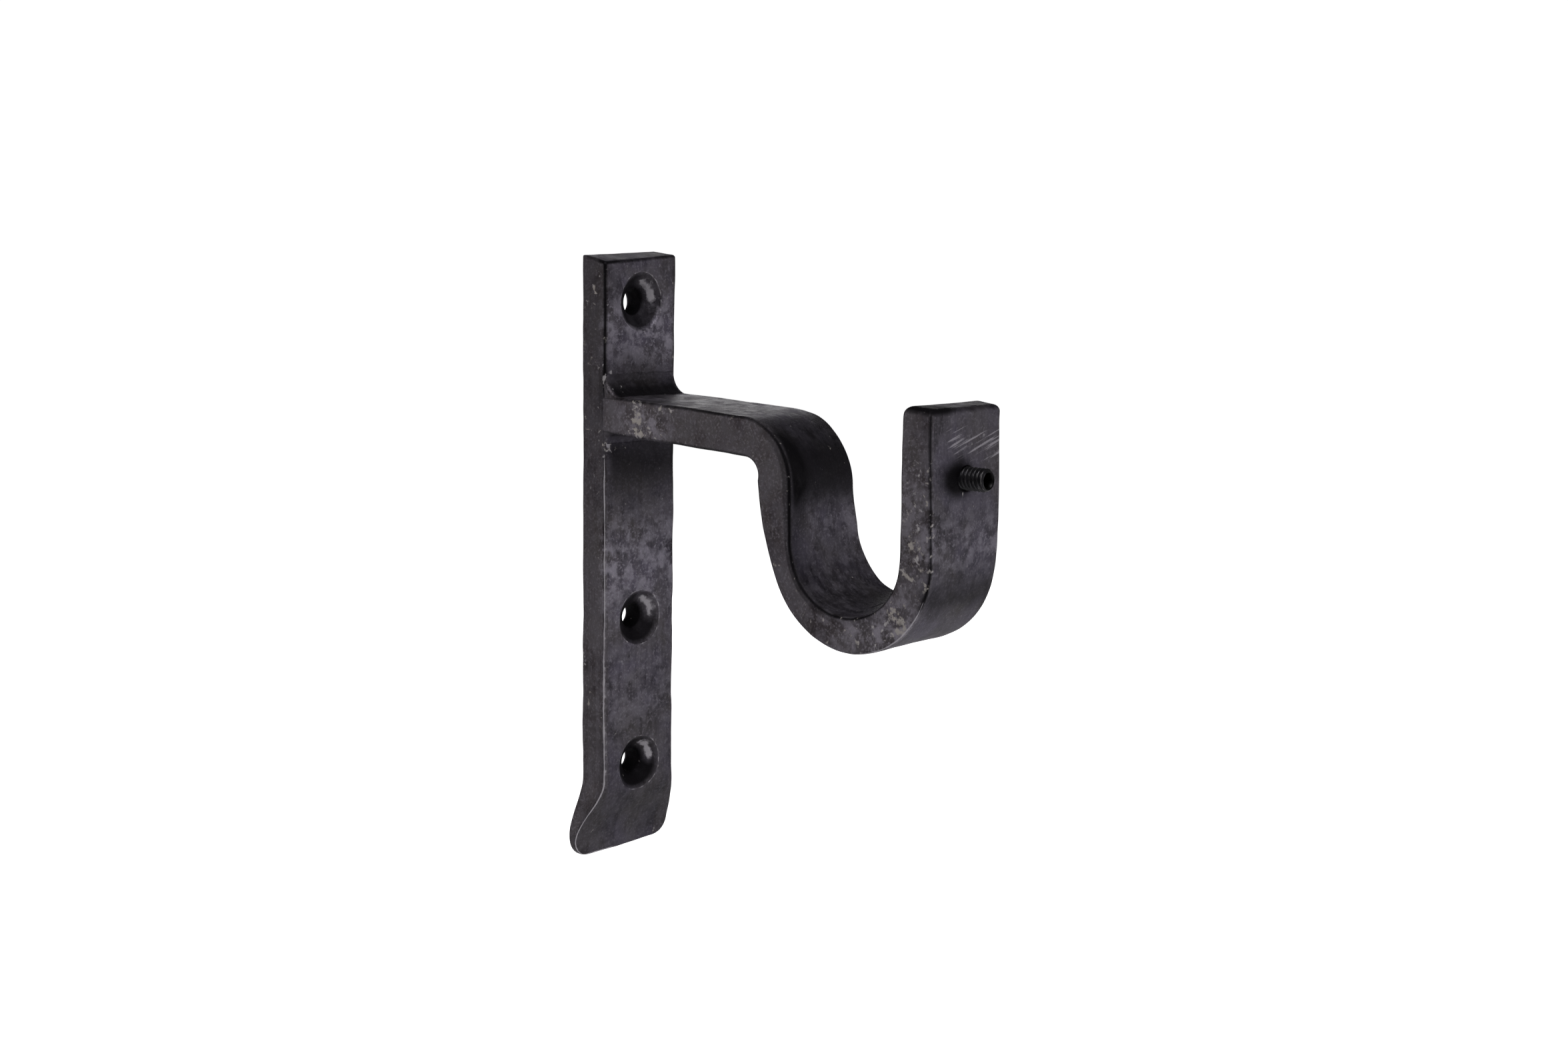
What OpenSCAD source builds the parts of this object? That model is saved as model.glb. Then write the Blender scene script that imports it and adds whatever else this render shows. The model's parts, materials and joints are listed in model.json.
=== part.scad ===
// Forged wall bracket for a curtain pole: a flat bar plate screwed to the wall, a flat bar arm
// welded to it and bent down into an open-topped cradle, and a socket set screw through the
// cradle's front leg. The wall is the plane Y = 0, the arm points along -Y, and +Z is up.

/* [Wall plate] */
// Width of the flat bar that the plate and the arm are made of
bar_w = 19.05; // [16:0.05:25]
// Thickness of the plate
plate_t = 6.35; // [5:0.05:8]
// Height of the plate
plate_h = 119; // [110:1:140]
// Height of the top screw hole above the middle of the plate
hole_top_z = 51.5; // [48:0.5:52]
// Height of the middle screw hole
hole_mid_z = -11; // [-16:0.5:-6]
// Height of the low screw hole
hole_low_z = -41; // [-41:0.5:-34]
// Diameter of each screw hole
hole_d = 5.0; // [4:0.1:6]
// Diameter of each countersink at the front face
sink_d = 10.9; // [8:0.1:12]
// Depth of each countersink
sink_depth = 2.5; // [1.8:0.1:3.2]

/* [Forged foot] */
// Length of the stretch at the bottom that is drawn out thin
foot_l = 16.5; // [14:0.5:16.5]
// Radius of the round that thins the front of the foot
foot_r = 14.5; // [12:0.5:24]
// Thickness left at the bottom edge
foot_tip_t = 0.9; // [0.6:0.1:2]
// How far the foot spreads on each side
foot_flare = 3.3; // [1:0.1:5]
// Radius of the foot's bottom corners
foot_corner_r = 4; // [1:0.1:5]

/* [Arm] */
// Thickness of the arm where it leaves the plate
arm_t = 7.1; // [6:0.1:8]
// Height of the arm's top face where it meets the plate
arm_top_z = 33.7; // [30:0.1:40]
// Angle by which the arm falls away from the plate
arm_fall = 2.2; // [0:0.1:4]
// Radius of the top of the shoulder
shoulder_r = 12; // [9:0.5:14]
// Radius in the angle under the shoulder
armpit_r = 3; // [2:0.5:5]

/* [Cradle] */
// Radius of the pole that lies in the cradle
pole_r = 12.5; // [12:0.1:13]
// Room between the pole and the cradle
pole_gap = 0.1; // [0:0.05:0.2]
// Distance of the pole's axis from the wall
pole_y = 66.4; // [64:0.1:70]
// Height of the pole's axis
pole_z = 11.4; // [10:0.1:14]
// Thickness of the cradle's floor
floor_t = 6.2; // [5:0.1:7]
// How far the cradle's outer round sits forward of and below the inner one
floor_shift = 0.7; // [0:0.1:1.2]
// Height of the tip of the front leg
tip_z = 36; // [33:0.5:40]
// Thickness of the front leg at its tip
tip_t = 5.5; // [5:0.1:6.2]
// Radius of the two edges across the tip
tip_edge_r = 1.2; // [0.5:0.1:2]

/* [Clamp screw] */
// Height of the screw's axis
screw_z = 24.2; // [22:0.1:26]
// Radius of the screw's shank over the threads
screw_r = 2.05; // [1.9:0.01:2.2]
// Room between the shank and its hole
screw_gap = 0.05; // [0.02:0.01:0.09]
// Length of the whole screw
screw_l = 12.7; // [10:0.1:16]
// How far the socket end stands out of the front leg
screw_out = 5.2; // [3:0.1:6]
// Size of the hexagon socket across its flats
socket_af = 2.0; // [1.8:0.05:2.2]
// Depth of the hexagon socket
socket_depth = 2.4; // [1.5:0.1:3]

/* [Weld beads] */
// Length of each leg of the bead on top of the arm
upper_leg = 4.2; // [3:0.1:6]
// Length of each leg of the bead under the arm
lower_leg = 2.2; // [1.5:0.1:4]

/* [Hidden] */
$fn = 96;

cut = 1;                                    // how far a cutting shape runs past a face
cradle_r = pole_r + pole_gap;
outer_r = cradle_r + floor_t - floor_shift;
outer_y = pole_y + floor_shift;             // middle of the cradle's outer round
outer_z = pole_z - floor_shift;
leg_in_y = pole_y + cradle_r;               // inner face of the front leg
leg_out_y = outer_y + outer_r;              // outer face of the front leg at the floor
back_in_y = pole_y - cradle_r;              // face of the back leg that the pole touches
back_out_y = back_in_y - arm_t - 0.2;       // back leg's outer face under the shoulder
leg_lean = 6;                               // how far that face leans towards the pole, degrees
foot_z = -plate_h / 2 + foot_l;             // where the foot starts to thin
foot_turn = acos(1 - (plate_t - foot_tip_t) / foot_r);  // angle that the thinning round turns through
end_y = leg_out_y - 0.6 + screw_out;        // socket end of the screw
point_l = 2.2;                              // length of the turned point
shank_l = screw_l - point_l;
chamfer = 0.4;                              // bevel on the socket end
point_r = 1.15;                             // radius of the cup's rim
cup_depth = 0.5;                            // depth of the cup in the point

// Points on an arc about (cx, cy) from angle a to angle b
function arc(cx, cy, r, a, b, steps = 24) =
    [for (i = [0:steps]) let (t = a + (b - a) * i / steps) [cx + r * cos(t), cy + r * sin(t)]];

// Stands a drawing up in the plane of the arm: x runs away from the wall and y runs up
module along_bar(width) {
    rotate([90, 0, -90]) linear_extrude(height = width, center = true) children();
}

// Hole for a countersunk screw, straight through the plate
module screw_hole(z) {
    translate([0, cut, z]) rotate([90, 0, 0]) cylinder(d = hole_d, h = plate_t + 2 * cut);
    translate([0, -plate_t + sink_depth, z]) rotate([90, 0, 0])
        cylinder(d1 = hole_d, d2 = sink_d, h = sink_depth);
    translate([0, -plate_t, z]) rotate([90, 0, 0]) cylinder(d = sink_d, h = cut);
}

// Front view of the plate, with the foot spread to both sides
module plate_outline() {
    half = bar_w / 2;
    bottom = -plate_h / 2;
    corner_x = half + foot_flare - foot_corner_r;
    right = concat([[half, plate_h / 2], [half, foot_z]],
                   arc(corner_x, bottom + foot_corner_r, foot_corner_r, 15, -90));
    left = [for (i = [len(right) - 1:-1:0]) [-right[i][0], right[i][1]]];
    polygon(concat(right, left));
}

// Side view of the plate: the front of the foot rounds back to a thin lip
module plate_side() {
    polygon(concat([[0, -plate_h / 2], [0, plate_h / 2], [plate_t, plate_h / 2]],
                   arc(plate_t - foot_r, foot_z, foot_r, 0, -foot_turn),
                   [[foot_tip_t, -plate_h / 2]]));
}

module wall_plate() {
    color([0.16, 0.15, 0.165]) difference() {
        intersection() {
            along_bar(bar_w + 4 * foot_flare) plate_side();
            translate([0, cut, 0]) rotate([90, 0, 0])
                linear_extrude(height = plate_t + 2 * cut) plate_outline();
        }
        for (z = [hole_top_z, hole_mid_z, hole_low_z]) screw_hole(z);
    }
}

// Angle at which a line from the point p touches the cradle's outer circle on its wall side
function touch_angle(p) =
    let (dy = p[0] - outer_y, dz = p[1] - outer_z) atan2(dz, dy) + acos(outer_r / norm([dy, dz]));

// Side view of the bent arm: along the top, down into the cradle, up round the front leg's tip
// and back along the underside
module arm_side() {
    drop = tan(arm_fall);
    bend_y = back_in_y - shoulder_r;
    bend_z = arm_top_z - drop * (bend_y - plate_t) - shoulder_r;
    shoulder = arc(bend_y, bend_z, shoulder_r, 90 - arm_fall, 0);
    pit_y = back_out_y - armpit_r;
    pit_z = arm_top_z - arm_t - drop * (pit_y - plate_t) - armpit_r;
    armpit = arc(pit_y, pit_z, armpit_r, -leg_lean, 90 - arm_fall);
    tip_mid_z = tip_z - tip_edge_r;
    tip_in = arc(leg_in_y + tip_edge_r, tip_mid_z, tip_edge_r, 180, 90, 8);
    tip_out = arc(leg_in_y + tip_t - tip_edge_r, tip_mid_z, tip_edge_r, 90, 0, 8);
    under_cradle = arc(outer_y, outer_z, outer_r, 0, touch_angle(armpit[0]) - 360, 72);
    difference() {
        polygon(concat([[plate_t, arm_top_z]], shoulder, [[back_in_y, pole_z], [leg_in_y, pole_z]],
                       tip_in, tip_out, under_cradle, armpit, [[plate_t, arm_top_z - arm_t]]));
        translate([pole_y, pole_z]) circle(r = cradle_r);
    }
}

module cradle_arm() {
    color([0.15, 0.14, 0.15]) difference() {
        along_bar(bar_w) arm_side();
        translate([0, -leg_in_y + cut, screw_z]) rotate([90, 0, 0])
            cylinder(r = screw_r + screw_gap, h = floor_t + 2 * cut);
    }
}

// Hollow-faced bead in the corner between the plate and the arm, seen from the side
module bead(leg, side) {
    start_z = side > 0 ? arm_top_z : arm_top_z - arm_t;
    far_y = plate_t + leg;
    far_z = start_z - leg * tan(arm_fall);
    far_top = start_z + side * leg;
    difference() {
        polygon([[plate_t, start_z], [far_y, far_z], [far_y, far_top], [plate_t, far_top]]);
        translate([far_y, far_top]) circle(r = leg - 0.15);
    }
}

module upper_weld() {
    color([0.13, 0.12, 0.125]) along_bar(bar_w) bead(upper_leg, 1);
}

module lower_weld() {
    color([0.2, 0.19, 0.185]) along_bar(bar_w) bead(lower_leg, -1);
}

// Threaded length of the screw with its socket, pointing away from the wall
module clamp_screw() {
    color([0.09, 0.09, 0.095]) translate([0, -end_y, screw_z]) rotate([-90, 0, 0]) difference() {
        union() {
            cylinder(r1 = screw_r - chamfer, r2 = screw_r, h = chamfer);
            translate([0, 0, chamfer]) cylinder(r = screw_r, h = shank_l - chamfer);
        }
        translate([0, 0, -cut])
            cylinder(d = socket_af / cos(30), h = socket_depth + cut, $fn = 6);
    }
}

// Turned point of the screw, with a shallow cup that bites on the pole
module screw_point() {
    color([0.12, 0.12, 0.125])
        translate([0, -end_y + shank_l, screw_z]) rotate([-90, 0, 0]) difference() {
            cylinder(r1 = screw_r - 0.1, r2 = point_r, h = point_l);
            translate([0, 0, point_l - cup_depth])
                cylinder(r1 = 0, r2 = point_r - 0.15, h = cup_depth);
            translate([0, 0, point_l]) cylinder(r = point_r, h = cut);
        }
}

wall_plate();
cradle_arm();
upper_weld();
lower_weld();
clamp_screw();
screw_point();
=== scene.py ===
import json
import math
import bpy
import numpy as np
from mathutils import Matrix, Vector


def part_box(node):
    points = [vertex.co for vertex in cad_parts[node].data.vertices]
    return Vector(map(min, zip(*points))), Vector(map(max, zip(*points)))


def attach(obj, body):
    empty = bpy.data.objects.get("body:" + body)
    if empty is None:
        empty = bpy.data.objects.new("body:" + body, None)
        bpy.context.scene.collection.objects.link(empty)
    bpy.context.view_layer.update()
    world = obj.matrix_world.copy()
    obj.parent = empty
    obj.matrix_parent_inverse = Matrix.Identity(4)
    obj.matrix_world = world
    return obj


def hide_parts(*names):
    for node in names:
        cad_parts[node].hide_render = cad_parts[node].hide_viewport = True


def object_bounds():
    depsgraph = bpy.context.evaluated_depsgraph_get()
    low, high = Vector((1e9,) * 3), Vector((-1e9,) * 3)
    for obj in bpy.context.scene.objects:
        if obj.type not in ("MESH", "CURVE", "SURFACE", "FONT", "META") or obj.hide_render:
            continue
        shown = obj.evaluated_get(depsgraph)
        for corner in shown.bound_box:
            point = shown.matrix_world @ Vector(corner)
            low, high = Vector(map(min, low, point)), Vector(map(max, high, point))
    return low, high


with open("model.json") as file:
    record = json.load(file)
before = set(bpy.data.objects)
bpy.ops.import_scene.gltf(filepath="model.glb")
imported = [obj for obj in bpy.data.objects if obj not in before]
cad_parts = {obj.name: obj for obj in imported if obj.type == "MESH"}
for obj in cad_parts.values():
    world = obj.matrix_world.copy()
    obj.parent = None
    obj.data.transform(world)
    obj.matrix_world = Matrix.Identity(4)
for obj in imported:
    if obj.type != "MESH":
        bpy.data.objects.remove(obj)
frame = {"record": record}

cadLow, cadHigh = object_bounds()
mm = 0.001  # one millimetre in metres; sizes are millimetres until makePiece turns them into metres
print("frame loaded, object box in mm:", [round(v / mm, 2) for v in cadHigh - cadLow])

# the flat bar that plate and arm are forged from. Its near side is towards -X, its far side towards +X
bar = dict(
    edgeRound=0.62,       # radius worn onto the long edges
    edgeSteps=4,          # grid lines round each edge
    edgeVariation=0.22,   # how unevenly the edges are worn
    edgePatch=9.0,        # length of a more or a less worn stretch
    edgeShift=0.41,       # share of the radius by which rounding moves the edge itself
    gridStep=0.36,        # grid step where nothing asks for a finer one
    sideFace=(8.3, 9.3),  # distances from the middle where a narrow side begins and where it is whole
    swell=0.08,           # how far scale and wax stand proud of the clean bar
    dent=0.07,            # depth of the broad hammer dents
    dentSize=17.0,
    dentSeed=11,
    ripple=0.022,         # depth of the fine unevenness
    rippleSize=4.5,
    rippleSeed=18,
)
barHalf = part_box("cradle_arm")[1].x / mm
mounts = {m["name"]: m for m in frame["record"]["mounts"]}


def waves(points, size, seed, count=16, spread=(0.55, 1.6), calm=1.6):
    # a smooth random field, mostly between -1 and 1: the sum of plane waves in random directions,
    # each about one size from crest to crest
    rng = np.random.default_rng(seed)
    ways = rng.normal(size=(count, 3))
    ways /= np.linalg.norm(ways, axis=1)[:, None]
    ways *= 2 * np.pi / size * rng.uniform(*spread, count)[:, None]
    phases = rng.uniform(0, 2 * np.pi, count)
    return np.sin(points @ ways.T + phases).sum(axis=1) * math.sqrt(2 / count) / calm


def hammered(points):
    # every point moves along each axis by the sum of a broad and a fine random field
    moved = points.copy()
    for axis in range(3):
        broad = waves(points, bar["dentSize"], bar["dentSeed"] + axis)
        fine = waves(points, bar["rippleSize"], bar["rippleSeed"] + axis)
        moved[:, axis] += bar["dent"] * broad + bar["ripple"] * fine
    return moved


def smoothStep(value, low, high):
    # 3 t^2 - 2 t^3, where t goes from 0 at low to 1 at high
    t = np.clip((value - low) / (high - low), 0, 1)
    return t * t * (3 - 2 * t)


def bump(value, middle, halfWidth):
    # 1 in the middle, falling smoothly to 0 a halfWidth away
    return 1 - smoothStep(np.abs(value - middle), 0, halfWidth)


def patch(value, strength, middle, halfWidth):
    return strength * bump(value, middle, halfWidth)


def fade(value, strength, low, high):
    return strength * smoothStep(value, low, high)


def onSide(x):
    # 1 on the narrow sides of the bar and 0 on its broad faces
    return smoothStep(np.abs(x), *bar["sideFace"])


def gridLines(marks, step):
    # evenly spaced lines between each two marks, about one step apart
    parts = [np.linspace(a, b, max(1, round(abs(b - a) / step)) + 1)[:-1] for a, b in zip(marks, marks[1:])]
    return np.append(np.concatenate(parts), marks[-1])


def edgeLines(radius):
    # distances from an edge at which lines must lie so that rounding spreads them evenly along the arc:
    # radius * (1 - tan(turn)) for even turns from 45 degrees to 0
    turns = np.linspace(math.pi / 4, 0, bar["edgeSteps"] + 1)
    return radius * (1 - np.tan(turns))


def linesWithEdges(low, high, marks, step):
    # grid lines from low to high through the marks, closer together beside the two rounded edges
    radius = bar["edgeRound"]
    inner = gridLines([low + radius, *marks, high - radius], step)
    start = low + edgeLines(radius)[:-1]
    finish = high - edgeLines(radius)[:-1][::-1]
    return np.concatenate([start, inner, finish])


def blockSkin(cells, holes=()):
    # the skin of a block of cells: a grid of quads on each of its six sides, joined along the edges.
    # holes are (column, row, half size in cells), left out of the two broad sides
    cells = np.array(cells)
    quads = []
    for axis in range(3):
        b, c = (axis + 1) % 3, (axis + 2) % 3
        gridB, gridC = np.meshgrid(np.arange(cells[b]), np.arange(cells[c]), indexing="ij")
        kept = np.ones(gridB.shape, bool)
        for column, row, half in holes if axis == 1 else ():
            kept &= ~((np.abs(gridC + 0.5 - column) < half) & (np.abs(gridB + 0.5 - row) < half))
        for side in (0, cells[axis]):
            corners = []
            for stepB, stepC in ((0, 0), (1, 0), (1, 1), (0, 1)):
                place = [None] * 3
                place[axis] = np.full(gridB.shape, side)
                place[b], place[c] = gridB + stepB, gridC + stepC
                corners.append(np.ravel_multi_index([p[kept] for p in place], cells + 1))
            quad = np.stack(corners, axis=1)
            quads.append(quad if side else quad[:, ::-1])
    keys, faces = np.unique(np.concatenate(quads), return_inverse=True)
    places = np.stack(np.unravel_index(keys, cells + 1), axis=1)
    return places, faces.reshape(-1, 4), keys


def roundedBlock(points, low, high, softness):
    # each point is pulled onto a sphere about the nearest point of the block shrunk by the edge's radius.
    # the second result is 1 on the edges themselves and 0 on the flat faces
    radius = bar["edgeRound"]
    inner = np.clip(points, low + radius, high - radius)
    away = (points - inner) / radius
    length = np.linalg.norm(away, axis=1)
    outside = length > 0
    rounded = points.copy()
    rounded[outside] = inner[outside] + radius * away[outside] / length[outside, None]
    pulled = np.linalg.norm(rounded - points, axis=1) / (radius * bar["edgeShift"])
    return points + softness[:, None] * (rounded - points), np.clip(pulled, 0, 1)


def squareRing(half):
    # steps round a square ring of cells, turning from the first axis towards the third
    t = np.arange(-half, half)
    side = np.full(2 * half, half)
    return np.concatenate([np.c_[side, t], np.c_[-t, side], np.c_[-side, -t], np.c_[t, -side]])


def ringKeys(half, column, row, level, counts):
    # the keys of the grid points on the square ring round a hole, on one level of the grid
    steps = squareRing(half)
    return np.ravel_multi_index((column + steps[:, 0], np.full(len(steps), level), row + steps[:, 1]), counts)


def openHole(flat, offsets, centre, outerCells, radii):
    # rings of grid cells round a hole become circles: radii maps a ring number to its circle's radius,
    # and the rings between them and the outermost square pass smoothly from one to the other
    p, q = offsets[:, 0].astype(float), offsets[:, 1].astype(float)
    ring = np.maximum(np.abs(p), np.abs(q))
    inside = (ring <= outerCells) & (ring > 0)
    p, q, ring = p[inside], q[inside], ring[inside].astype(int)
    sideways = np.abs(p) >= np.abs(q)
    turnBeside = (q / np.where(p == 0, 1, p)) * np.pi / 4 + np.where(p < 0, np.pi, 0)
    turnAbove = np.sign(q) * np.pi / 2 - (p / np.where(q == 0, 1, q)) * np.pi / 4
    turn = np.where(sideways, turnBeside, turnAbove)
    edge = max(radii)
    size = np.array([radii.get(r, 0.0) for r in range(outerCells + 1)])
    squareHalf = np.abs(flat[inside] - centre).max(axis=1)
    share = smoothStep(ring, edge, outerCells)
    outerSize = radii[edge] + (ring - edge) * (squareHalf.max() - radii[edge]) / (outerCells - edge)
    radius = np.where(ring <= edge, size[np.minimum(ring, outerCells)], outerSize)
    circle = centre + radius[:, None] * np.c_[np.cos(turn), np.sin(turn)]
    moved = flat.copy()
    moved[inside] = flat[inside] * share[:, None] + circle * (1 - share[:, None])
    return moved, inside, ring, radius


def addTube(points, faces, first, last, rings):
    # a wall of quads from the ring of vertices first to the ring last through the rings of new points
    count = len(first)
    newIds = len(points) + np.arange(len(rings) * count).reshape(len(rings), count)
    levels = np.vstack([first, newIds, last])
    a, b = levels[:-1], levels[1:]
    quads = np.stack([a, np.roll(a, -1, axis=1), np.roll(b, -1, axis=1), b], axis=2).reshape(-1, 4)
    return np.vstack([points, np.concatenate(rings)]), np.vstack([faces, quads])


def makePiece(name, points, faces, nodeName, body, material, values, triangles=()):
    # values are the numbers on each vertex that the materials read as attributes
    mesh = bpy.data.meshes.new(name)
    mesh.from_pydata((points * mm).tolist(), [], [*faces.tolist(), *[list(t) for t in triangles]])
    mesh.polygons.foreach_set("use_smooth", np.ones(len(mesh.polygons), bool))
    for key, numbers in values.items():
        mesh.attributes.new(key, "FLOAT", "POINT").data.foreach_set("value", numbers.astype(np.float32))
    mesh.materials.append(material)
    mesh.validate()
    mesh.update()
    piece = bpy.data.objects.new(name, mesh)
    bpy.context.collection.objects.link(piece)
    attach(piece, body)
    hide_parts(nodeName)
    print(name, "made:", len(mesh.vertices), "vertices")
    return piece


def node(tree, kind, links=(), **values):
    # a shader node with its settings and sockets given by name; a link is (socket, output to take it from)
    made = tree.nodes.new("ShaderNode" + kind)
    for key, value in values.items():
        if hasattr(made, key):
            setattr(made, key, value)
        else:
            made.inputs[key].default_value = value
    for socket, output in links:
        tree.links.new(output, made.inputs[socket])
    return made


def feed(tree, socket, value):
    # a number or a colour is set on the socket, an output is linked to it
    if isinstance(value, (int, float)):
        socket.default_value = value
    elif isinstance(value, tuple):
        socket.default_value = (*value, 1.0)
    else:
        tree.links.new(value, socket)


def ramp(tree, value, low, high, to=(0.0, 1.0)):
    made = node(tree, "MapRange", [("Value", value)], interpolation_type="SMOOTHSTEP")
    for label, number in zip(("From Min", "From Max", "To Min", "To Max"), (low, high, *to)):
        made.inputs[label].default_value = number
    return made.outputs["Result"]


def maths(tree, operation, *values):
    made = node(tree, "Math", operation=operation)
    for socket, value in zip(made.inputs, values):
        feed(tree, socket, value)
    return made.outputs[0]


def times(tree, a, b):
    return maths(tree, "MULTIPLY", a, b)


def timesPlus(tree, a, b, c):
    return maths(tree, "MULTIPLY_ADD", a, b, c)


def mixColour(tree, share, a, b):
    made = node(tree, "Mix", data_type="RGBA", clamp_factor=True)
    for number, value in ((0, share), (6, a), (7, b)):  # the factor and the two colours of the node
        feed(tree, made.inputs[number], value)
    return made.outputs[2]


def noise(tree, vector, size, detail=2.0, roughness=0.5, distortion=0.0):
    made = node(tree, "TexNoise", [("Vector", vector)],
                Detail=detail, Roughness=roughness, Distortion=distortion)
    feed(tree, made.inputs["Scale"], size)
    return made.outputs[0]


def attribute(tree, name):
    return node(tree, "Attribute", attribute_name=name).outputs["Fac"]


def makeGroup(name, inputs, outputs):
    # a node group: inputs are names with a number or a vector as default, outputs are names of numbers.
    # gives the group, the sockets that its inputs come from and the sockets that its outputs go to
    tree = bpy.data.node_groups.new(name, "ShaderNodeTree")
    for label, default in inputs.items():
        kind = "NodeSocketFloat" if isinstance(default, float) else "NodeSocketVector"
        tree.interface.new_socket(label, in_out="INPUT", socket_type=kind).default_value = default
    for label in outputs:
        tree.interface.new_socket(label, in_out="OUTPUT", socket_type="NodeSocketFloat")
    return tree, tree.nodes.new("NodeGroupInput").outputs, tree.nodes.new("NodeGroupOutput").inputs


def useGroup(tree, group, links, **values):
    made = tree.nodes.new("ShaderNodeGroup")
    made.node_tree = group
    for key, value in values.items():
        made.inputs[key].default_value = value
    for socket, output in links:
        tree.links.new(output, made.inputs[socket])
    return made.outputs


def newMaterial(name, **fixed):
    material = bpy.data.materials.new(name)
    material.use_nodes = True
    tree = material.node_tree
    shader = tree.nodes["Principled BSDF"]
    for key, value in fixed.items():
        shader.inputs[key.replace("_", " ")].default_value = value
    return material, tree, shader


# the marks that every material shares; a span is the stretch of a noise that becomes 0 to 1
marks = dict(
    scale=dict(
        Tone=dict(finer=1.0, detail=4.0, roughness=0.55, distortion=0.3, span=(0.34, 0.68)),   # broad clouds
        Shade=dict(finer=2.3, detail=4.0, roughness=0.6, distortion=0.5, span=(0.46, 0.66)),   # dark blotches
        Mottle=dict(finer=5.0, detail=5.0, roughness=0.62, distortion=0.0, span=(0.43, 0.64)),
        Grain=dict(finer=26.0, detail=3.0, roughness=0.6, distortion=0.0, span=(0.50, 0.68)),
    ),
    heightShares=dict(Mottle=0.7, Grain=0.3),
    streakSpan=(0.38, 0.64),
    chipSize=900.0, wornSpan=(0.42, 0.62),
    clusterSize=150.0, clusterSpan=(0.46, 0.62), clusterGain=0.10, fleckGain=0.09, fleckSpan=(0.71, 0.82),
    tintSize=300.0, tintSpan=(0.4, 0.6),
    scratchSqueeze=0.035, scratchSize=2300.0, scratchGain=0.34, scratchSpan=(0.82, 0.92),
)
origin = (0.0, 0.0, 0.0)


def buildForgeScale():
    # patchy oxide skin: noises of four sizes become four masks, and the two finest add up to a height
    tree, given, result = makeGroup("forgeScale", dict(Vector=origin, Size=60.0), [*marks["scale"], "Height"])
    heights = []
    for label, layer in marks["scale"].items():
        size = times(tree, given["Size"], layer["finer"])
        value = noise(tree, given["Vector"], size, layer["detail"], layer["roughness"], layer["distortion"])
        tree.links.new(ramp(tree, value, *layer["span"]), result[label])
        if label in marks["heightShares"]:
            heights.append(times(tree, value, marks["heightShares"][label]))
    tree.links.new(maths(tree, "ADD", *heights), result["Height"])
    return tree


def buildBrushMarks():
    # fine parallel marks: noise squeezed hard across the rubbing direction
    inputs = dict(Vector=origin, Stretch=(1.0, 1.0, 0.06), Size=900.0)
    tree, given, result = makeGroup("brushMarks", inputs, ["Streak"])
    stretched = node(tree, "Mapping", [("Vector", given["Vector"]), ("Scale", given["Stretch"])])
    streak = noise(tree, stretched.outputs[0], given["Size"], detail=3.0, roughness=0.55)
    tree.links.new(ramp(tree, streak, *marks["streakSpan"]), result["Streak"])
    return tree


def buildEdgeWear():
    # metal rubbed bright where the wear value is high, broken up so that it shows as chips and short runs
    tree, given, result = makeGroup("edgeWear", dict(Vector=origin, Wear=0.0, Breakup=0.5), ["Mask"])
    chips = noise(tree, given["Vector"], marks["chipSize"], detail=3.0, roughness=0.6)
    broken = times(tree, maths(tree, "SUBTRACT", chips, 0.5), given["Breakup"])
    worn = maths(tree, "ADD", given["Wear"], broken)
    tree.links.new(ramp(tree, worn, *marks["wornSpan"]), result["Mask"])
    return tree


def buildFlecks():
    # small light patches of bare metal and loose scale in clusters, only where the zone value lets them show
    tree, given, result = makeGroup("flecks", dict(Vector=origin, Zone=0.0, Size=480.0), ["Mask", "Tint"])
    spots = noise(tree, given["Vector"], given["Size"], detail=3.0, roughness=0.6, distortion=0.15)
    clusters = ramp(tree, noise(tree, given["Vector"], marks["clusterSize"]), *marks["clusterSpan"])
    gain = timesPlus(tree, clusters, marks["clusterGain"], marks["fleckGain"])
    lifted = timesPlus(tree, given["Zone"], gain, spots)
    tree.links.new(ramp(tree, lifted, *marks["fleckSpan"]), result["Mask"])
    tint = noise(tree, given["Vector"], marks["tintSize"])
    tree.links.new(ramp(tree, tint, *marks["tintSpan"]), result["Tint"])
    return tree


def buildScratches():
    # long thin scratches: a noise squeezed to lines, of which the zone value lets the strongest show
    tree, given, result = makeGroup("scratches", dict(Vector=origin, Turn=origin, Zone=0.0), ["Mask"])
    turned = node(tree, "Mapping", [("Vector", given["Vector"]), ("Rotation", given["Turn"])])
    squeeze = (marks["scratchSqueeze"], 1.0, 1.0)
    squeezed = node(tree, "Mapping", [("Vector", turned.outputs[0])], Scale=squeeze)
    lines = noise(tree, squeezed.outputs[0], marks["scratchSize"], detail=3.0, roughness=0.6)
    lifted = maths(tree, "ADD", lines, times(tree, given["Zone"], marks["scratchGain"]))
    tree.links.new(ramp(tree, lifted, *marks["scratchSpan"]), result["Mask"])
    return tree


forgeScale = buildForgeScale()
brushMarks = buildBrushMarks()
edgeWear = buildEdgeWear()
flecks = buildFlecks()
scratches = buildScratches()


def addRelief(tree, shader, height, strength, depth):
    relief = node(tree, "Bump", [("Height", height)], Strength=strength, Distance=depth * mm)
    tree.links.new(relief.outputs["Normal"], shader.inputs["Normal"])


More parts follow.
